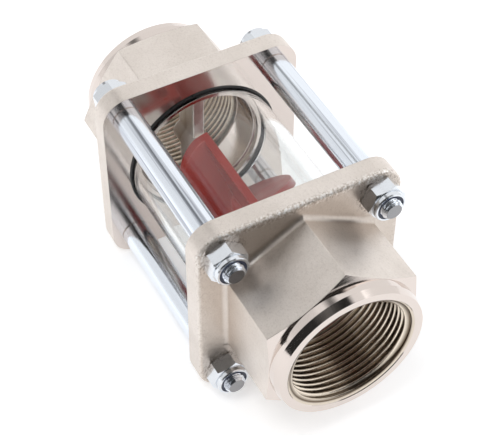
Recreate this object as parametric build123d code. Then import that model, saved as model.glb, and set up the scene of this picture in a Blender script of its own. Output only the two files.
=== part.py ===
from build123d import *
from math import cos, radians, sqrt, tan
import os

os.makedirs("parts", exist_ok=True)

# Sizes in millimetres. +X runs along the flow axis towards the front port, +Z is up,
# and the origin is the middle of the sight glass on the flow axis.

# Port thread G 1 1/2, cut to its major radius, with a relief at its inner end
THREAD_RADIUS = 23.9
THREAD_RELIEF_DEPTH = 0.3
THREAD_RELIEF_LENGTH = 1.5
COUNTERSINK_DEPTH = 1.6
COUNTERSINK_WIDTH = 1.4

# Hexagon, turned collar and nose of each fitting; the wall is from thread to flat
PORT_WALL = 5.15
HEX_LENGTH = 28.6
HEX_ROOT_RADIUS = 2.0
HEX_CHAMFER_ANGLE = 19.0
COLLAR_STEP = 0.15
COLLAR_LENGTH = 3.1
NOSE_TAPER = 0.7
NOSE_LENGTH = 3.1
QUARTER_TURN = 90.0

# Flanges and the window between them; the margin is beyond the hexagon's corners
WINDOW_LENGTH = 65.6
FLANGE_MARGIN = 6.456
FLANGE_THICKNESS = 8.4
FLANGE_CORNER_RADIUS = 10.0
FLANGE_EDGE_RADIUS = 1.2

# Counterbore, land, seal and sight glass, each outwards from the one before
COUNTERBORE_STEP = 0.8
COUNTERBORE_DEPTH = 2.5
LAND_WIDTH = 2.0
SEAL_WIDTH = 4.1
SEAL_GROOVE_DEPTH = 3.6
SEAL_STANDOUT = 0.6
SEAL_EDGE_RADIUS = 0.6
GLASS_INSET = 0.2
GLASS_WALL = 3.0
GLASS_EDGE_RADIUS = 0.5

# Tie rods with threaded ends, on a square pattern
ROD_EDGE_DISTANCE = 9.5
ROD_RADIUS = 5.5
ROD_SHOULDER_CHAMFER = 0.4
STUD_RADIUS = 4.0
STUD_STANDOUT = 10.3
STUD_CHAMFER = 1.0
STUD_HOLE_CLEARANCE = 0.5

# Lock nuts: hexagon, turned collar and locking ring
NUT_ACROSS_FLATS = 13.0
NUT_HEX_HEIGHT = 6.0
NUT_HEIGHT = 8.0
NUT_CHAMFER_ANGLE = 25.0
NUT_COLLAR_WALL = 1.0
NUT_LIP = 0.35
RING_HEIGHT = 1.9
NUT_TURNS = {"upper_right": 8.0, "upper_left": 24.0, "lower_left": 14.5, "lower_right": 45.0}

# Bearing bridge cast across each bore, with a flow opening on each side of it
BRIDGE_WIDTH = 4.8
BRIDGE_DEPTH = 11.7
OPENING_CORNER_RADIUS = 3.0
OPENING_LIP_RADIUS = 0.5
BOSS_RADIUS = 5.2
BOSS_ROOT_RADIUS = 1.2
BOSS_RISE = 1.0

# Bushes and spindle
BUSH_RADIUS = 3.0
BUSH_LENGTH = 8.0
SHAFT_RADIUS = 2.0
JOURNAL_RADIUS = 1.5
RUNNING_CLEARANCE = 0.05
END_PLAY = 0.3
JOURNAL_GAP = 1.0

# Impeller: a hub, a web along it and one pitched blade on each side of the web
IMPELLER_CLEARANCE = 6.7
IMPELLER_END_GAP = 11.0
HUB_RADIUS = 4.8
WEB_THICKNESS = 3.2
WEB_EDGE_RADIUS = 0.8
BLADE_THICKNESS = 2.5
BLADE_PITCH = 45.0
IMPELLER_TURN = 13.7

# Seats inside one assembly, on the radius
SEAT_CLEARANCE = 0.02

# Radii and widths, outwards from the thread
opening_radius = THREAD_RADIUS + THREAD_RELIEF_DEPTH
counterbore_radius = opening_radius + COUNTERBORE_STEP
seal_inner_radius = counterbore_radius + LAND_WIDTH
seal_outer_radius = seal_inner_radius + SEAL_WIDTH
glass_bore_radius = seal_inner_radius + GLASS_INSET
glass_radius = glass_bore_radius + GLASS_WALL
hex_flat_radius = THREAD_RADIUS + PORT_WALL
hex_radius = hex_flat_radius / cos(radians(30))
collar_radius = hex_flat_radius - COLLAR_STEP
flange_size = 2 * (hex_radius + FLANGE_MARGIN)
rod_offset = flange_size / 2 - ROD_EDGE_DISTANCE
nut_radius = NUT_ACROSS_FLATS / 2 / cos(radians(30))
impeller_radius = glass_bore_radius - IMPELLER_CLEARANCE

# Stations along the flow axis, on the front side
inner_face = WINDOW_LENGTH / 2
outer_face = inner_face + FLANGE_THICKNESS
hex_shoulder = outer_face + HEX_LENGTH
collar_start = hex_shoulder + (hex_radius - collar_radius) * tan(radians(HEX_CHAMFER_ANGLE))
nose_start = collar_start + COLLAR_LENGTH
end_face = nose_start + NOSE_LENGTH
bridge_face = inner_face + COUNTERBORE_DEPTH
bridge_back = bridge_face + BRIDGE_DEPTH
thread_start = bridge_back + THREAD_RELIEF_LENGTH
groove_floor = inner_face + SEAL_GROOVE_DEPTH
seal_face = inner_face - SEAL_STANDOUT
boss_face = bridge_face - BOSS_RISE
bush_back = boss_face + BUSH_LENGTH
stud_tip = outer_face + STUD_STANDOUT
nut_top = outer_face + NUT_HEIGHT
ring_bottom = nut_top - RING_HEIGHT
impeller_end = inner_face - IMPELLER_END_GAP

CORNERS = {
    "upper_right": (rod_offset, rod_offset),
    "upper_left": (-rod_offset, rod_offset),
    "lower_left": (-rod_offset, -rod_offset),
    "lower_right": (rod_offset, -rod_offset),
}


def turned(points):
    """Solid of revolution about the flow axis from (x, radius) points."""
    profile = make_face(Polyline(*points, close=True))
    return revolve(profile, Axis.X)


def rod_along_x(radius, start, end):
    """Round bar on the flow axis from start to end."""
    return extrude(Plane.YZ.offset(start) * Circle(radius), amount=end - start)


def to_back(piece):
    """Front piece placed at the back: turned to face -X, then a quarter turn about the axis."""
    return Rot(X=QUARTER_TURN) * (Rot(Z=180) * piece)


def at_corner(piece, corner):
    """Piece on the flow axis moved out to one rod corner."""
    y, z = CORNERS[corner]
    return Pos(0, y, z) * piece


# Fittings

def flange_plate():
    outline = RectangleRounded(flange_size, flange_size, FLANGE_CORNER_RADIUS)
    plate = extrude(Plane.YZ.offset(inner_face) * outline, amount=FLANGE_THICKNESS)
    rim = plate.faces().sort_by(Axis.X)[-1].edges()
    return fillet(rim, FLANGE_EDGE_RADIUS)


def hexagon_block():
    """Hexagon with one corner up, its outer corners turned down to the collar."""
    outline = Rot(Z=30) * RegularPolygon(hex_radius, 6)
    block = extrude(Plane.YZ.offset(outer_face) * outline, amount=collar_start - outer_face)
    slope = tan(radians(HEX_CHAMFER_ANGLE))
    margin = 2.0
    envelope = turned([
        (outer_face, 0),
        (outer_face, hex_radius + margin),
        (hex_shoulder - margin * slope, hex_radius + margin),
        (collar_start, collar_radius),
        (collar_start, 0),
    ])
    return block & envelope


def nose_turning():
    return turned([
        (outer_face, 0),
        (outer_face, collar_radius),
        (nose_start, collar_radius),
        (end_face, collar_radius - NOSE_TAPER),
        (end_face, 0),
    ])


def port_bore():
    """Relief, thread at its major radius and countersunk mouth, as one cutter."""
    mouth = end_face - COUNTERSINK_DEPTH
    return turned([
        (bridge_back, 0),
        (bridge_back, opening_radius),
        (thread_start, opening_radius),
        (thread_start, THREAD_RADIUS),
        (mouth, THREAD_RADIUS),
        (end_face, THREAD_RADIUS + COUNTERSINK_WIDTH),
        (end_face, 0),
    ])


def flow_openings():
    """Two D-shaped ways through the casting, one on each side of the bridge and its boss."""
    bar = Rectangle(2 * opening_radius, BRIDGE_WIDTH)
    outline = Circle(opening_radius) - bar - Circle(BOSS_RADIUS)
    halfway = (opening_radius + BOSS_RADIUS) / 2
    outer = [corner for corner in outline.vertices() if abs(corner.X) > halfway]
    outline = fillet(outer, OPENING_CORNER_RADIUS)
    inner = [corner for corner in outline.vertices() if abs(corner.X) < BOSS_RADIUS]
    outline = fillet(inner, BOSS_ROOT_RADIUS)
    return extrude(Plane.YZ.offset(bridge_face) * outline, amount=BRIDGE_DEPTH)


def bearing_boss():
    """Front end of the boss that stands out of the bridge, round the bush."""
    return rod_along_x(BOSS_RADIUS, boss_face, bridge_back)


def seal_groove():
    outer = rod_along_x(seal_outer_radius + SEAT_CLEARANCE, inner_face, groove_floor)
    return outer - rod_along_x(seal_inner_radius - SEAT_CLEARANCE, inner_face, groove_floor)


def fitting():
    body = flange_plate() + hexagon_block()
    root = [
        edge for edge in body.edges().filter_by_position(Axis.X, outer_face, outer_face)
        if Vector(0, edge.center().Y, edge.center().Z).length < hex_radius
    ]
    body = fillet(root, HEX_ROOT_RADIUS)
    body += nose_turning()
    body -= port_bore()
    body -= rod_along_x(counterbore_radius, inner_face, bridge_face)
    body -= flow_openings()
    lips = body.edges().filter_by_position(Axis.X, bridge_face, bridge_face).filter_by(GeomType.LINE)
    body = fillet(lips, OPENING_LIP_RADIUS)
    body += bearing_boss()
    body -= rod_along_x(BUSH_RADIUS + SEAT_CLEARANCE, boss_face, bush_back)
    body -= seal_groove()
    for corner in CORNERS:
        hole = rod_along_x(STUD_RADIUS + STUD_HOLE_CLEARANCE, inner_face, outer_face)
        body -= at_corner(hole, corner)
    return body


# Glass and seals

def sight_glass():
    outer = rod_along_x(glass_radius, -seal_face, seal_face)
    tube = outer - rod_along_x(glass_bore_radius, -seal_face, seal_face)
    return fillet(tube.edges().filter_by(GeomType.CIRCLE), GLASS_EDGE_RADIUS)


def seal():
    """Flat ring in the groove, standing a little proud, with rounded outer edges."""
    outer = rod_along_x(seal_outer_radius, seal_face, groove_floor)
    ring = outer - rod_along_x(seal_inner_radius, seal_face, groove_floor)
    edges = ring.faces().sort_by(Axis.X)[0].edges()
    return fillet(edges, SEAL_EDGE_RADIUS)


# Tie rods and lock nuts

def tie_rod():
    """Round rod between the flanges with a thinner threaded stud at each end."""
    half = [
        (0, 0),
        (0, ROD_RADIUS),
        (inner_face - ROD_SHOULDER_CHAMFER, ROD_RADIUS),
        (inner_face, ROD_RADIUS - ROD_SHOULDER_CHAMFER),
        (inner_face, STUD_RADIUS),
        (stud_tip - STUD_CHAMFER, STUD_RADIUS),
        (stud_tip, STUD_RADIUS - STUD_CHAMFER),
        (stud_tip, 0),
    ]
    front = turned(half)
    return front + mirror(front, Plane.YZ)


def nut_recess_radius():
    return NUT_ACROSS_FLATS / 2 - NUT_COLLAR_WALL - NUT_LIP


def lock_nut():
    """Hexagon nut with chamfered corners and a turned collar that is rolled over its ring."""
    outline = RegularPolygon(nut_radius, 6)
    block = extrude(Plane.YZ.offset(outer_face) * outline, amount=NUT_HEX_HEIGHT)
    slope = tan(radians(NUT_CHAMFER_ANGLE))
    face_radius = NUT_ACROSS_FLATS / 2
    corner_drop = (nut_radius - face_radius) * slope
    hex_top = outer_face + NUT_HEX_HEIGHT
    envelope = turned([
        (outer_face, 0),
        (outer_face, face_radius),
        (outer_face + corner_drop, nut_radius),
        (hex_top - corner_drop, nut_radius),
        (hex_top, face_radius),
        (hex_top, 0),
    ])
    nut_collar_radius = face_radius - NUT_LIP
    collar = turned([
        (outer_face, 0),
        (outer_face, nut_collar_radius),
        (nut_top - NUT_LIP, nut_collar_radius),
        (nut_top, nut_collar_radius - NUT_LIP),
        (nut_top, 0),
    ])
    nut = (block & envelope) + collar
    nut -= rod_along_x(nut_recess_radius(), ring_bottom, nut_top)
    nut -= rod_along_x(STUD_RADIUS + SEAT_CLEARANCE, outer_face, nut_top)
    return nut


def nut_ring():
    """Nylon locking ring seated in the nut's collar."""
    ring_top = nut_top - NUT_LIP
    outer = rod_along_x(nut_recess_radius() - SEAT_CLEARANCE, ring_bottom, ring_top)
    return outer - rod_along_x(STUD_RADIUS + SEAT_CLEARANCE, ring_bottom, ring_top)


# Bearings

def bush():
    outer = rod_along_x(BUSH_RADIUS, boss_face, bush_back)
    return outer - rod_along_x(JOURNAL_RADIUS + RUNNING_CLEARANCE, boss_face, bush_back)


def impeller_shaft():
    """Spindle with a shoulder and a journal at each end."""
    shoulder = boss_face - END_PLAY
    tip = bush_back - JOURNAL_GAP
    shaft = rod_along_x(SHAFT_RADIUS, -shoulder, shoulder)
    return shaft + rod_along_x(JOURNAL_RADIUS, -tip, tip)


# Impeller

def blade(side):
    """Flat blade on one side of the web, pitched about the line square to the web."""
    reach = impeller_radius * sqrt(2) + impeller_end
    plate = Pos(0, side * impeller_radius / 2, 0) * Box(2 * reach, impeller_radius, BLADE_THICKNESS)
    plate = Rot(Y=-side * BLADE_PITCH) * plate
    return plate & rod_along_x(impeller_radius, -impeller_end, impeller_end)


def impeller():
    web = Box(2 * impeller_end, WEB_THICKNESS, 2 * impeller_radius)
    web = fillet(web.edges().filter_by(Axis.X), WEB_EDGE_RADIUS)
    web &= rod_along_x(impeller_radius, -impeller_end, impeller_end)
    rotor = web + blade(1) + blade(-1) + rod_along_x(HUB_RADIUS, -impeller_end, impeller_end)
    rotor -= rod_along_x(SHAFT_RADIUS, -impeller_end, impeller_end)
    return Rot(X=IMPELLER_TURN) * rotor


front_fitting = fitting()
front_seal = seal()
front_bush = bush()
nut = lock_nut()
ring = nut_ring()
rod = tie_rod()

nodes = {
    "front_fitting": front_fitting,
    "back_fitting": to_back(front_fitting),
    "sight_glass": sight_glass(),
    "front_seal": front_seal,
    "back_seal": to_back(front_seal),
    "front_bush": front_bush,
    "back_bush": to_back(front_bush),
    "impeller": impeller(),
    "impeller_shaft": impeller_shaft(),
}
for corner in CORNERS:
    turned_nut = Rot(X=NUT_TURNS[corner]) * nut
    nodes["tie_rod_" + corner] = at_corner(rod, corner)
    nodes["front_nut_" + corner] = at_corner(turned_nut, corner)
    nodes["front_nut_ring_" + corner] = at_corner(ring, corner)
    nodes["back_nut_" + corner] = at_corner(Rot(Z=180) * turned_nut, corner)
    nodes["back_nut_ring_" + corner] = at_corner(Rot(Z=180) * ring, corner)

for name, shape in nodes.items():
    export_step(shape, "parts/" + name + ".step")
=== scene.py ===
import math

import bpy
from mathutils import Matrix, Vector

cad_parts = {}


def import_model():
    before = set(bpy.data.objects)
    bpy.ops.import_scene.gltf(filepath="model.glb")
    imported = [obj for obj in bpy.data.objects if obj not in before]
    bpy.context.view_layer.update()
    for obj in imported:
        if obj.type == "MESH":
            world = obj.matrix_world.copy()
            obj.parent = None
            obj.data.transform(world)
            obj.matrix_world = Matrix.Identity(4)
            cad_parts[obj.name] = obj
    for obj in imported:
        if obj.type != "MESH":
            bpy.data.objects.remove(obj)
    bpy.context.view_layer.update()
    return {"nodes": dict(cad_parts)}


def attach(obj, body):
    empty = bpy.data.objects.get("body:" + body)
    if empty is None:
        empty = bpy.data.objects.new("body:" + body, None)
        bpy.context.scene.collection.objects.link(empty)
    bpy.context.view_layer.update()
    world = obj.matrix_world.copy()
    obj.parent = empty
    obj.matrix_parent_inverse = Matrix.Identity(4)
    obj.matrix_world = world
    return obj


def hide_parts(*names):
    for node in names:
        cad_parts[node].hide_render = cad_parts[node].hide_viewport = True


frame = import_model()
MM = 0.001

# Sizes of the part, in millimetres, for pieces and finishes that follow the solids
INNER_FACE = 32.8
OUTER_FACE = 41.2
HEX_SHOULDER = 69.8
HEX_RADIUS = 33.55
HEX_CHAMFER_SLOPE = 0.344
BORED_FROM = 23.2
BORED_TO = 27.5
THREAD_START = 48.5
COUNTERSINK_ROOT = 76.0
THREAD_END = 77.35
PORT_MAJOR_RADIUS = 23.9
PORT_MINOR_RADIUS = 22.42
PORT_PITCH = 2.309
COUNTERSINK_SLOPE = 0.875
ROD_OFFSET = 30.5
ROD_RADIUS = 5.5
ROD_CHAMFER = 0.4
STUD_RADIUS = 4.0
STUD_ROOT_RADIUS = 3.4
STUD_PITCH = 1.25
STUD_TIP = 51.5
STUD_CHAMFER = 1.0
STUD_RUN_OUT = 1.0
CAST_EDGE_RADIUS = 0.7
MOULD_EDGE_RADIUS = 0.45
FLOOR_HEIGHT = -40.0

# How far a finish reaches past the face that it belongs to
FACE_MARGIN = 0.05
CHAMFER_MARGIN = 0.06

# How far the roots of the port thread stand proud of the bore wall, and its back lies behind it
THREAD_PROUD = 0.02
THREAD_BURIED = 0.03

# The share of a pitch over which the port thread runs out at the mouth
MOUTH_RUN_OUT = 0.45

# Form of a thread: how much is cut flat at the root and at the crest, and how round the flanks are
THREAD_FLAT = 0.10
THREAD_ROUNDING = 0.35

# Fineness of the thread meshes
PORT_SEGMENTS = 128
PORT_STEPS_PER_TURN = 14
ROD_SEGMENTS = 48
STUD_STEPS_PER_TURN = 10

# Angles above which an edge stays sharp, in degrees
PORT_THREAD_CREASE = 60
ROD_CREASE = 40

# Stretches over which wear sets in or the pitting round a nut fades, in millimetres: out from the flange's
# middle, up its height, behind its front face, and out from the middle of a nut
RIM_WEAR = (36.6, 39.0)
UPPER_WEAR = (24.0, 36.0)
FRONT_WEAR = (2.4, 0.9)
NUT_PIT_RING = (7.6, 10.2)

# The share of that wear on the other edges and on the back fitting, and of pits on the plain skin
OTHER_WEAR = 0.15
SKIN_PITTING = 0.12

# Strengths of the light, and the width of a flag's soft edge in metres
WORLD_LIGHT = 0.75
FLOOR_GLOW = 0.36
FLAG_EDGE = 0.16

# Rays that feel for an edge to round
BEVEL_SAMPLES = 6

# Colours
CAST_DARK = (0.77, 0.705, 0.65)
CAST_LIGHT = (0.85, 0.785, 0.73)
CAST_SPECK = (0.44, 0.37, 0.32)
# Painted shade for the flange's front face
FLANGE_PAINTED_SHADE = (0.52, 0.44, 0.37)
CAST_FLECK = (0.97, 0.95, 0.92)
SKIN_PIT = (0.30, 0.24, 0.20)
EDGE_PIT = (0.50, 0.43, 0.37)
TURNED = (0.71, 0.635, 0.59)
THREAD_CREST = (0.80, 0.71, 0.60)
# Painted shade in the roots of the port thread
THREAD_ROOT_SHADE = (0.12, 0.085, 0.055)
ZINC_BRIGHT = (0.86, 0.91, 0.98)
# Dull zinc of the rod's stripes, dark enough to be painted reflection as well
ZINC_DULL_PAINTED_REFLECTION = (0.34, 0.36, 0.41)
# Bare cut steel, darkened further as painted reflection
CUT_STEEL_PAINTED_DARK = (0.30, 0.30, 0.31)
RED_DARK = (0.31, 0.021, 0.015)
RED_LIGHT = (0.40, 0.032, 0.022)
# Painted highlight on the impeller's rounded edges
RED_PAINTED_HIGHLIGHT = (0.62, 0.24, 0.20)
WHITE = (1.0, 1.0, 1.0, 1.0)

CORNERS = {
    "upper_right": (ROD_OFFSET, ROD_OFFSET),
    "upper_left": (-ROD_OFFSET, ROD_OFFSET),
    "lower_left": (-ROD_OFFSET, -ROD_OFFSET),
    "lower_right": (ROD_OFFSET, -ROD_OFFSET),
}


# Materials

class Shader:
    """Principled material with small helpers for its node tree."""

    # A Mix node's two value inputs and its output, for each type of data
    MIX_SOCKETS = {"FLOAT": (2, 3, 0), "VECTOR": (4, 5, 1), "RGBA": (6, 7, 2)}

    def __init__(self, name, color, metallic, roughness):
        self.material = bpy.data.materials.new(name)
        self.material.use_nodes = True
        self.tree = self.material.node_tree
        self.bsdf = self.tree.nodes["Principled BSDF"]
        self.bsdf.inputs["Base Color"].default_value = (*color, 1.0)
        self.bsdf.inputs["Metallic"].default_value = metallic
        self.bsdf.inputs["Roughness"].default_value = roughness
        self.material.diffuse_color = (*color, 1.0)

    def node(self, kind, **settings):
        node = self.tree.nodes.new(kind)
        for key, value in settings.items():
            setattr(node, key, value)
        return node

    def link(self, source, target):
        self.tree.links.new(source, target)

    def feed(self, socket, value):
        """Sets a socket to a number or a colour, or links another socket to it."""
        if isinstance(value, tuple):
            socket.default_value = (*value, 1.0)
        elif isinstance(value, (int, float)):
            socket.default_value = value
        else:
            self.link(value, socket)

    def math(self, operation, first, second=None):
        node = self.node("ShaderNodeMath", operation=operation)
        self.feed(node.inputs[0], first)
        if second is not None:
            self.feed(node.inputs[1], second)
        return node.outputs[0]

    def times(self, first, *others):
        for other in others:
            first = self.math("MULTIPLY", first, other)
        return first

    def length(self, first, second):
        """Length of the vector that has these two components."""
        squares = self.math("ADD", self.times(first, first), self.times(second, second))
        return self.math("SQRT", squares)

    def position(self):
        return self.node("ShaderNodeTexCoord").outputs["Object"]

    def surface_normal(self):
        return self.node("ShaderNodeNewGeometry").outputs["Normal"]

    def axes(self):
        split = self.node("ShaderNodeSeparateXYZ")
        self.link(self.position(), split.inputs[0])
        return split.outputs[0], split.outputs[1], split.outputs[2]

    def stretched(self, scale):
        mapping = self.node("ShaderNodeMapping")
        mapping.inputs["Scale"].default_value = scale
        self.link(self.position(), mapping.inputs["Vector"])
        return mapping.outputs[0]

    def noise(self, scale, detail, rough, vector=None):
        node = self.node("ShaderNodeTexNoise")
        node.inputs["Scale"].default_value = scale
        node.inputs["Detail"].default_value = detail
        node.inputs["Roughness"].default_value = rough
        self.link(vector or self.position(), node.inputs["Vector"])
        return node.outputs["Fac"]

    def ramp(self, value, start, end, low, high):
        """Number that goes from low to high as the value goes from start to end."""
        node = self.node("ShaderNodeMapRange")
        for name, number in (("From Min", start), ("From Max", end), ("To Min", low), ("To Max", high)):
            node.inputs[name].default_value = number
        self.link(value, node.inputs["Value"])
        return node.outputs[0]

    def rise(self, value, start, end):
        return self.ramp(value, start, end, 0.0, 1.0)

    def fall(self, value, start, end):
        return self.ramp(value, start, end, 1.0, 0.0)

    def spread(self, noise, low, high):
        """Noise spread over the range from low to high."""
        return self.ramp(noise, 0.3, 0.7, low, high)

    def mix(self, factor, first, second, kind="FLOAT"):
        """Goes from first to second; each is a number, a colour or a socket."""
        node = self.node("ShaderNodeMix", data_type=kind)
        first_input, second_input, output = self.MIX_SOCKETS[kind]
        self.link(factor, node.inputs[0])
        self.feed(node.inputs[first_input], first)
        self.feed(node.inputs[second_input], second)
        return node.outputs[output]

    def mix_color(self, factor, first, second):
        return self.mix(factor, first, second, "RGBA")

    def bevel(self, radius):
        """Normal of the surface as if its edges were rounded."""
        node = self.node("ShaderNodeBevel")
        node.samples = BEVEL_SAMPLES
        node.inputs["Radius"].default_value = radius
        return node.outputs[0]

    def bump(self, height, distance, strength, normal=None):
        """Fine relief of a depth in metres, on the plain surface or on a given normal."""
        node = self.node("ShaderNodeBump")
        node.inputs["Distance"].default_value = distance
        node.inputs["Strength"].default_value = strength
        self.link(height, node.inputs["Height"])
        if normal is not None:
            self.link(normal, node.inputs["Normal"])
        self.link(node.outputs[0], self.bsdf.inputs["Normal"])

    def drive(self, value, socket):
        self.link(value, self.bsdf.inputs[socket])


def machined_mask(shader, along, radius):
    """1 on the turned and faced surfaces of a fitting, 0 on its cast skin."""
    faced = shader.math("LESS_THAN", along, (INNER_FACE + FACE_MARGIN) * MM)
    bored = shader.times(shader.math("LESS_THAN", radius, BORED_TO * MM),
                         shader.math("GREATER_THAN", radius, BORED_FROM * MM))
    cone = shader.times(shader.math("SUBTRACT", HEX_RADIUS * MM, radius), HEX_CHAMFER_SLOPE)
    turned_from = shader.math("ADD", cone, (HEX_SHOULDER - CHAMFER_MARGIN) * MM)
    turned = shader.math("GREATER_THAN", along, turned_from)
    return shader.math("MAXIMUM", shader.math("MAXIMUM", faced, bored), turned)


def nut_ring_mask(shader, y, z):
    """Fades out from the edge of each nut, where the flange's face gets more dark pits."""
    across = shader.math("SUBTRACT", shader.math("ABSOLUTE", y), ROD_OFFSET * MM)
    up = shader.math("SUBTRACT", shader.math("ABSOLUTE", z), ROD_OFFSET * MM)
    return shader.ramp(shader.length(across, up), NUT_PIT_RING[0] * MM, NUT_PIT_RING[1] * MM, 0.9, 0.0)


def plated_fitting():
    """Nickel plate over sand-cast brass: grainy, worn on its upper front edge, bright where machined."""
    shader = Shader("plated_fitting", (0.78, 0.72, 0.66), 1.0, 0.3)
    x, y, z = shader.axes()
    along = shader.math("ABSOLUTE", x)
    radius = shader.length(y, z)
    mask = machined_mask(shader, along, radius)
    ring_position = shader.node("ShaderNodeCombineXYZ")
    shader.link(radius, ring_position.inputs[0])
    shader.link(along, ring_position.inputs[1])
    rings = shader.noise(5000.0, 2.0, 0.5, ring_position.outputs[0])

    square = shader.math("MAXIMUM", shader.math("ABSOLUTE", y), shader.math("ABSOLUTE", z))
    near_rim = shader.rise(square, RIM_WEAR[0] * MM, RIM_WEAR[1] * MM)
    near_front = shader.rise(along, (OUTER_FACE - FRONT_WEAR[0]) * MM, (OUTER_FACE - FRONT_WEAR[1]) * MM)
    upper = shader.ramp(z, UPPER_WEAR[0] * MM, UPPER_WEAR[1] * MM, OTHER_WEAR, 1.0)
    front_end = shader.ramp(x, -1.0 * MM, 1.0 * MM, OTHER_WEAR, 1.0)
    worn_edge = shader.times(near_rim, near_front, shader.times(upper, front_end))

    grain = shader.noise(1900.0, 3.0, 0.6)
    lumps = shader.noise(420.0, 2.0, 0.5)
    pit_noise = shader.noise(1100.0, 3.0, 0.7)
    pits = shader.rise(pit_noise, 0.53, 0.62)
    flecks = shader.times(shader.fall(pit_noise, 0.40, 0.47), worn_edge)
    round_nuts = shader.times(nut_ring_mask(shader, y, z), near_front)
    pitting = shader.math("MAXIMUM", shader.mix(worn_edge, SKIN_PITTING, 1.0), round_nuts)
    pitted = shader.times(pits, pitting)
    relief = shader.math("ADD", shader.times(grain, 0.45), shader.times(lumps, 0.7))
    relief = shader.math("SUBTRACT", relief, shader.times(pitted, 0.55))

    cloud = shader.rise(shader.noise(60.0, 3.0, 0.5), 0.35, 0.65)
    speckle = shader.ramp(shader.noise(2600.0, 3.0, 0.7), 0.42, 0.62, 0.0, 0.12)
    # Painted shade on the flange's front face, which fades out over the start of the fillet in front of it
    painted_shade_flange_front = shader.times(shader.rise(along, (OUTER_FACE - 0.3) * MM, (OUTER_FACE - 0.1) * MM),
                                shader.fall(along, (OUTER_FACE + 0.3) * MM, (OUTER_FACE + 2.3) * MM))
    cast = shader.mix_color(cloud, CAST_DARK, CAST_LIGHT)
    cast = shader.mix_color(speckle, cast, CAST_SPECK)
    cast = shader.mix_color(shader.times(painted_shade_flange_front, 0.45), cast, FLANGE_PAINTED_SHADE)
    cast = shader.mix_color(flecks, cast, CAST_FLECK)
    cast = shader.mix_color(pitted, cast, shader.mix_color(worn_edge, SKIN_PIT, EDGE_PIT))
    shader.drive(shader.mix_color(mask, cast, TURNED), "Base Color")

    rough_cast = shader.spread(shader.noise(700.0, 3.0, 0.6), 0.34, 0.46)
    nose = shader.math("GREATER_THAN", along, (HEX_SHOULDER - 3.0) * MM)
    rough_turned = shader.mix(nose, shader.spread(rings, 0.10, 0.17), shader.spread(rings, 0.07, 0.14))
    shader.drive(shader.mix(mask, rough_cast, rough_turned), "Roughness")

    height = shader.mix(mask, relief, shader.times(rings, 0.03))
    rounded = shader.bevel(CAST_EDGE_RADIUS * MM)
    normal = shader.mix(mask, rounded, shader.surface_normal(), "VECTOR")
    shader.bump(height, 0.16 * MM, 0.8, normal)
    return shader.material


def port_thread_metal():
    """Cut thread, with painted shade darkening it from the crests down into its roots."""
    shader = Shader("port_thread_metal", (0.62, 0.54, 0.47), 1.0, 0.2)
    _, y, z = shader.axes()
    radius = shader.length(y, z)
    # Painted shade: the thread goes dark towards its roots, less so out in the countersink
    depth = shader.rise(radius, (PORT_MINOR_RADIUS + 0.25) * MM, PORT_MAJOR_RADIUS * MM)
    inside = shader.ramp(radius, (PORT_MAJOR_RADIUS + 0.1) * MM, (PORT_MAJOR_RADIUS + 0.6) * MM, 1.0, 0.2)
    shader.drive(shader.mix_color(shader.times(depth, inside), THREAD_CREST, THREAD_ROOT_SHADE), "Base Color")
    shader.drive(shader.spread(shader.noise(900.0, 3.0, 0.6), 0.12, 0.26), "Roughness")
    shader.bump(shader.noise(2500.0, 2.0, 0.5), 0.02 * MM, 0.4)
    return shader.material


def rod_steel():
    """Bright zinc plate on drawn bar: dull stripes along the rod, darkened further as painted reflection of
    dark surroundings, and bare steel where it was cut off, also darkened as painted reflection.
    """
    shader = Shader("rod_steel", (0.84, 0.88, 0.94), 1.0, 0.2)
    x, _, _ = shader.axes()
    lines = shader.noise(1.0, 3.0, 0.6, shader.stretched((18.0, 2400.0, 2400.0)))
    stripe_noise = shader.noise(1.0, 2.0, 0.5, shader.stretched((6.0, 330.0, 330.0)))
    stripes = shader.rise(stripe_noise, 0.40, 0.62)
    # Stripes of uneven plating, darkened as painted reflection of dark surroundings
    dull_and_reflection = shader.ramp(shader.times(stripes, lines), 0.22, 0.52, 0.0, 0.85)
    plated = shader.mix_color(dull_and_reflection, ZINC_BRIGHT, ZINC_DULL_PAINTED_REFLECTION)
    # Cut ends: bare steel, darkened further as painted reflection
    cut = shader.math("GREATER_THAN", shader.math("ABSOLUTE", x), (STUD_TIP - FACE_MARGIN) * MM)
    shader.drive(shader.mix_color(cut, plated, CUT_STEEL_PAINTED_DARK), "Base Color")
    shader.drive(shader.spread(lines, 0.13, 0.24), "Roughness")
    shader.bump(lines, 0.03 * MM, 0.5)
    return shader.material


def nut_steel():
    shader = Shader("nut_steel", (0.76, 0.79, 0.83), 1.0, 0.16)
    shader.drive(shader.spread(shader.noise(500.0, 3.0, 0.6), 0.10, 0.24), "Roughness")
    shader.bump(shader.noise(1800.0, 3.0, 0.6), 0.04 * MM, 0.5)
    return shader.material


def spindle_steel():
    shader = Shader("spindle_steel", (0.70, 0.70, 0.70), 1.0, 0.18)
    lines = shader.noise(1.0, 2.0, 0.5, shader.stretched((6000.0, 300.0, 300.0)))
    shader.drive(shader.spread(lines, 0.12, 0.26), "Roughness")
    shader.bump(lines, 0.01 * MM, 0.4)
    return shader.material


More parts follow.
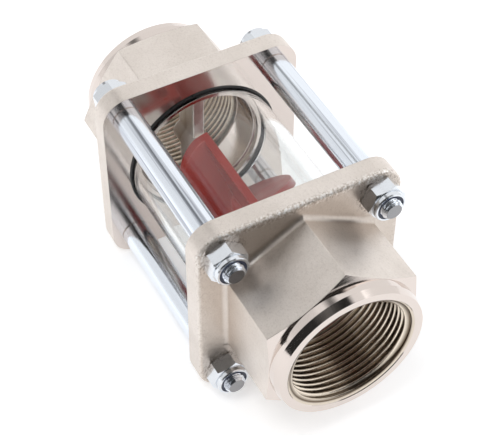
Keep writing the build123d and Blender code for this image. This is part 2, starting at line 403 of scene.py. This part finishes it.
def red_plastic():
    """Moulded red plastic with a soft sheen and a painted highlight along its rounded edges."""
    shader = Shader("red_plastic", (0.36, 0.026, 0.018), 0.0, 0.32)
    shader.bsdf.inputs["Specular IOR Level"].default_value = 0.35
    cloud = shader.spread(shader.noise(90.0, 3.0, 0.5), 0.0, 1.0)
    red = shader.mix_color(cloud, RED_DARK, RED_LIGHT)
    rounded = shader.bevel(MOULD_EDGE_RADIUS * MM)
    facing = shader.node("ShaderNodeVectorMath", operation="DOT_PRODUCT")
    shader.link(rounded, facing.inputs[0])
    shader.link(shader.surface_normal(), facing.inputs[1])
    # Painted highlight: the colour lightens where the rounded normal turns away from the true normal
    edge = shader.ramp(facing.outputs["Value"], 0.80, 0.99, 0.55, 0.0)
    shader.drive(shader.mix_color(edge, red, RED_PAINTED_HIGHLIGHT), "Base Color")
    shader.drive(shader.spread(shader.noise(150.0, 2.0, 0.5), 0.28, 0.38), "Roughness")
    shader.bump(shader.noise(180.0, 2.0, 0.5), 0.02 * MM, 0.10, rounded)
    return shader.material


def black_rubber():
    shader = Shader("black_rubber", (0.012, 0.012, 0.012), 0.0, 0.32)
    shader.drive(shader.spread(shader.noise(800.0, 2.0, 0.5), 0.25, 0.42), "Roughness")
    shader.bump(shader.noise(2500.0, 2.0, 0.5), 0.03 * MM, 0.3)
    return shader.material


def plain_plastic(name, color):
    shader = Shader(name, color, 0.0, 0.45)
    shader.drive(shader.spread(shader.noise(600.0, 2.0, 0.5), 0.36, 0.54), "Roughness")
    shader.bump(shader.noise(2000.0, 2.0, 0.5), 0.03 * MM, 0.3)
    return shader.material


def clear_glass():
    """Clear glass that lets the lamps' light through to the impeller."""
    shader = Shader("clear_glass", (0.97, 0.985, 0.98), 0.0, 0.02)
    shader.bsdf.inputs["Transmission Weight"].default_value = 1.0
    shader.bsdf.inputs["IOR"].default_value = 1.47
    shader.bsdf.inputs["Specular IOR Level"].default_value = 0.15
    shader.drive(shader.spread(shader.noise(40.0, 2.0, 0.5), 0.0, 0.03), "Roughness")
    clear = shader.node("ShaderNodeBsdfTransparent")
    clear.inputs[0].default_value = (0.93, 0.95, 0.945, 1.0)
    path = shader.node("ShaderNodeLightPath")
    blend = shader.node("ShaderNodeMixShader")
    output = shader.tree.nodes["Material Output"]
    passing = shader.math("MAXIMUM", path.outputs["Is Shadow Ray"], path.outputs["Is Diffuse Ray"])
    shader.link(passing, blend.inputs[0])
    shader.link(shader.bsdf.outputs[0], blend.inputs[1])
    shader.link(clear.outputs[0], blend.inputs[2])
    shader.link(blend.outputs[0], output.inputs["Surface"])
    return shader.material


MATERIALS = {
    "fitting": plated_fitting(),
    "port_thread": port_thread_metal(),
    "rod": rod_steel(),
    "nut": nut_steel(),
    "spindle": spindle_steel(),
    "red": red_plastic(),
    "rubber": black_rubber(),
    "bush": plain_plastic("bush_plastic", (0.80, 0.79, 0.74)),
    "ring": plain_plastic("ring_nylon", (0.05, 0.06, 0.10)),
    "glass": clear_glass(),
}


def node_material(name):
    """Finish of a CAD node, from the first of these words that is in its name."""
    words = (
        ("fitting", "fitting"), ("nut_ring", "ring"), ("nut", "nut"), ("tie_rod", "rod"),
        ("seal", "rubber"), ("bush", "bush"), ("shaft", "spindle"), ("impeller", "red"), ("glass", "glass"),
    )
    for word, key in words:
        if word in name:
            return MATERIALS[key]
    raise ValueError("no finish for " + name)


for name, obj in frame["nodes"].items():
    obj.data.materials.clear()
    obj.data.materials.append(node_material(name))


# Pieces that carry threads

def grid_mesh(name, rows, closed_rows=False):
    """Mesh of closed rings of points, joined in order, and closed by caps or by the first ring."""
    count = len(rows[0])
    points = [point for row in rows for point in row]
    faces = []
    last = len(rows) if closed_rows else len(rows) - 1
    for i in range(last):
        a = i * count
        b = ((i + 1) % len(rows)) * count
        for j in range(count):
            k = (j + 1) % count
            faces.append((a + j, b + j, b + k, a + k))
    if not closed_rows:
        faces.append(tuple(range(count)))
        faces.append(tuple(range((len(rows) - 1) * count, len(rows) * count))[::-1])
    mesh = bpy.data.meshes.new(name)
    mesh.from_pydata(points, [], faces)
    mesh.validate()
    mesh.update()
    obj = bpy.data.objects.new(name, mesh)
    bpy.context.scene.collection.objects.link(obj)
    return obj


def smooth_by_angle(obj, degrees):
    for polygon in obj.data.polygons:
        polygon.use_smooth = True
    obj.data.set_sharp_from_angle(angle=math.radians(degrees))


def ring(x, radius_at, count):
    """Ring of points round the flow axis at x, with a radius that may change with the angle."""
    points = []
    for j in range(count):
        angle = 2 * math.pi * j / count
        radius = radius_at(angle)
        points.append((x * MM, radius * math.cos(angle) * MM, radius * math.sin(angle) * MM))
    return points


def thread_wave(x, angle, pitch):
    """0 at the root and 1 at the crest of a rounded thread."""
    phase = (x / pitch - angle / (2 * math.pi)) % 1.0
    triangle = 1.0 - abs(2.0 * phase - 1.0)
    flank = (triangle - THREAD_FLAT) / (1.0 - 2.0 * THREAD_FLAT)
    flank = min(1.0, max(0.0, flank))
    rounded = flank * flank * (3.0 - 2.0 * flank)
    return rounded * THREAD_ROUNDING + flank * (1.0 - THREAD_ROUNDING)


def port_thread(name, turn):
    """Internal pipe thread: ridges on the bore wall that run out through the countersink."""
    length = THREAD_END - THREAD_START
    stations = int(length / PORT_PITCH * PORT_STEPS_PER_TURN)
    depth = PORT_MAJOR_RADIUS - PORT_MINOR_RADIUS
    rows = []
    for i in range(stations + 1):
        x = THREAD_START + length * i / stations
        run_in = (x - THREAD_START + THREAD_PROUD) / PORT_PITCH
        run_out = (THREAD_END - x) / (MOUTH_RUN_OUT * PORT_PITCH)
        ridge = depth * min(1.0, run_in, run_out)
        wall = PORT_MAJOR_RADIUS + COUNTERSINK_SLOPE * max(0.0, x - COUNTERSINK_ROOT) - THREAD_PROUD
        rows.append(ring(x, lambda a: wall - ridge * thread_wave(x, a, PORT_PITCH), PORT_SEGMENTS))
    skin = PORT_MAJOR_RADIUS + THREAD_BURIED
    lip = skin + COUNTERSINK_SLOPE * (THREAD_END - COUNTERSINK_ROOT)
    for x, radius in ((THREAD_END, lip), (COUNTERSINK_ROOT, skin), (THREAD_START, skin)):
        rows.append(ring(x, lambda a: radius, PORT_SEGMENTS))
    piece = grid_mesh(name, rows, closed_rows=True)
    piece.data.transform(turn)
    smooth_by_angle(piece, PORT_THREAD_CREASE)
    piece.data.materials.append(MATERIALS["port_thread"])
    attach(piece, "housing")


def stud_radius(x, angle):
    """Radius of the threaded end of a rod, which is bevelled at its tip."""
    limit = STUD_RADIUS - max(0.0, x - (STUD_TIP - STUD_CHAMFER))
    fade = min(1.0, max(0.0, (x - INNER_FACE - STUD_RUN_OUT) / STUD_PITCH))
    groove = fade * (STUD_RADIUS - STUD_ROOT_RADIUS) * (1 - thread_wave(x, angle, STUD_PITCH))
    return min(limit, STUD_RADIUS - groove)


def threaded_rod(corner):
    """Tie rod with rolled threads on its two studs."""
    y, z = CORNERS[corner]
    half = [
        ring(0.0, lambda a: ROD_RADIUS, ROD_SEGMENTS),
        ring(INNER_FACE - ROD_CHAMFER, lambda a: ROD_RADIUS, ROD_SEGMENTS),
        ring(INNER_FACE, lambda a: ROD_RADIUS - ROD_CHAMFER, ROD_SEGMENTS),
    ]
    stations = int((STUD_TIP - INNER_FACE) / (STUD_PITCH / STUD_STEPS_PER_TURN))
    for i in range(stations + 1):
        x = INNER_FACE + (STUD_TIP - INNER_FACE) * i / stations
        half.append(ring(x, lambda a: stud_radius(x, a), ROD_SEGMENTS))
    back = [[(-p[0], p[1], -p[2]) for p in row] for row in half[:0:-1]]
    back = [[row[-j % ROD_SEGMENTS] for j in range(ROD_SEGMENTS)] for row in back]
    piece = grid_mesh("rod_" + corner, back + half)
    piece.data.transform(Matrix.Translation((0, y * MM, z * MM)))
    smooth_by_angle(piece, ROD_CREASE)
    piece.data.materials.append(MATERIALS["rod"])
    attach(piece, "housing")
    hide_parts("tie_rod_" + corner)


port_thread("front_port_thread", Matrix.Identity(4))
port_thread("back_port_thread", Matrix.Rotation(math.pi, 4, "Z"))
for corner in CORNERS:
    threaded_rod(corner)


# Floor, background, flags, lamps and camera, with places and sizes in metres

def seen_by_eye(tree):
    """1 for camera, mirror and glass rays, which are the ones that look at the background."""
    path = tree.nodes.new("ShaderNodeLightPath")
    total = path.outputs["Is Camera Ray"]
    for ray in ("Is Glossy Ray", "Is Transmission Ray"):
        step = tree.nodes.new("ShaderNodeMath")
        step.operation = "MAXIMUM"
        tree.links.new(total, step.inputs[0])
        tree.links.new(path.outputs[ray], step.inputs[1])
        total = step.outputs[0]
    return total


def stage_rectangle(name, half_width, half_height, z, material):
    corners = [(-half_width, -half_height, z), (half_width, -half_height, z),
               (half_width, half_height, z), (-half_width, half_height, z)]
    mesh = bpy.data.meshes.new(name)
    mesh.from_pydata(corners, [], [tuple(range(len(corners)))])
    mesh.materials.append(material)
    obj = bpy.data.objects.new(name, mesh)
    bpy.context.scene.collection.objects.link(obj)
    return obj


def floor():
    """White paper that keeps the shadow and goes to plain white away from it."""
    shader = Shader("floor_paper", (0.90, 0.90, 0.90), 0.0, 0.9)
    glow = shader.times(seen_by_eye(shader.tree), FLOOR_GLOW)
    shader.bsdf.inputs["Emission Color"].default_value = WHITE
    shader.drive(glow, "Emission Strength")
    stage_rectangle("floor", 3.0, 3.0, FLOOR_HEIGHT * MM, shader.material)


def flag(name, place, facing, width, height, shade, edge=FLAG_EDGE):
    """Studio flag with a soft edge, seen only in reflections, that gives bright metal its bands."""
    half_w, half_h = width / 2, height / 2
    shader = Shader(name + "_cloth", (0.0, 0.0, 0.0), 0.0, 1.0)
    x, y, _ = shader.axes()
    inside = shader.times(shader.fall(shader.math("ABSOLUTE", x), half_w - edge, half_w),
                          shader.fall(shader.math("ABSOLUTE", y), half_h - edge, half_h))
    shader.bsdf.inputs["Specular IOR Level"].default_value = 0.0
    shader.bsdf.inputs["Emission Color"].default_value = (shade, shade, shade, 1.0)
    shader.bsdf.inputs["Emission Strength"].default_value = 1.0
    shader.drive(inside, "Alpha")
    obj = stage_rectangle(name, half_w, half_h, 0.0, shader.material)
    turn = (Vector(facing) - Vector(place)).to_track_quat("Z", "Y").to_matrix().to_4x4()
    obj.matrix_world = Matrix.Translation(place) @ turn
    obj.visible_camera = False
    obj.visible_diffuse = False
    obj.visible_transmission = False
    obj.visible_shadow = False


def world():
    """Soft even light, with plain white behind the part for the camera, metal and glass."""
    scene = bpy.context.scene
    scene.world = bpy.data.worlds.new("studio")
    scene.world.use_nodes = True
    tree = scene.world.node_tree
    background = tree.nodes["Background"]
    background.inputs["Color"].default_value = (0.97, 0.98, 1.0, 1.0)
    background.inputs["Strength"].default_value = WORLD_LIGHT
    white = tree.nodes.new("ShaderNodeBackground")
    white.inputs["Color"].default_value = WHITE
    white.inputs["Strength"].default_value = 1.0
    blend = tree.nodes.new("ShaderNodeMixShader")
    tree.links.new(seen_by_eye(tree), blend.inputs[0])
    tree.links.new(background.outputs[0], blend.inputs[1])
    tree.links.new(white.outputs[0], blend.inputs[2])
    tree.links.new(blend.outputs[0], tree.nodes["World Output"].inputs["Surface"])


def lamp(name, place, size, power, color):
    """Square lamp that points at the middle of the part."""
    data = bpy.data.lights.new(name, "AREA")
    data.shape = "RECTANGLE"
    data.size = size
    data.size_y = size
    data.energy = power
    data.color = color
    obj = bpy.data.objects.new(name, data)
    obj.location = place
    obj.rotation_euler = (-obj.location).to_track_quat("-Z", "Y").to_euler()
    bpy.context.scene.collection.objects.link(obj)


def camera():
    """Camera at the photograph's place, solved from the flanges, the rods and the port."""
    data = bpy.data.cameras.new("camera")
    data.sensor_width = 36.0
    data.lens = 110.95
    data.clip_start = 0.01
    obj = bpy.data.objects.new("camera", data)
    right = (0.4717, 0.8817, -0.0012)
    up = (-0.6528, 0.3502, 0.6718)
    back = (0.5927, -0.3161, 0.7408)
    rotation = Matrix((right, up, back)).transposed().to_4x4()
    obj.matrix_world = Matrix.Translation((0.3248, -0.17556, 0.40056)) @ rotation
    bpy.context.scene.collection.objects.link(obj)
    bpy.context.scene.camera = obj


MIDDLE = (0.0, 0.0, 0.0)

floor()
world()
flag("overhead_flag", (0.44, -0.465, 1.2), (0.44, -0.465, 0.0), 1.9, 1.77, 0.02)
flag("side_flag", (-0.02, -1.1, 0.5), (-0.02, 0.0, 0.5), 0.96, 1.6, 0.03)
flag("front_flag", (1.2, -0.2, 0.45), (0.0, -0.2, 0.45), 2.2, 1.2, 0.05)
flag("floor_flag", (0.80, -0.40, -0.0395), (0.80, -0.40, 1.0), 1.2, 1.028, 0.03, edge=0.02)
flag("top_strip", (-0.70, -0.14, 0.96), MIDDLE, 0.40, 1.3, 0.22)
flag("side_strip", (-0.71, -0.75, 0.61), MIDDLE, 0.80, 0.95, 0.82)
lamp("key", (0.1, -0.6, 1.8), 0.8, 7.0, (1.0, 0.99, 0.97))
lamp("fill", (0.4, 1.3, 1.2), 1.2, 2.5, (0.97, 0.98, 1.0))
camera()
bpy.context.scene.view_settings.view_transform = "Standard"
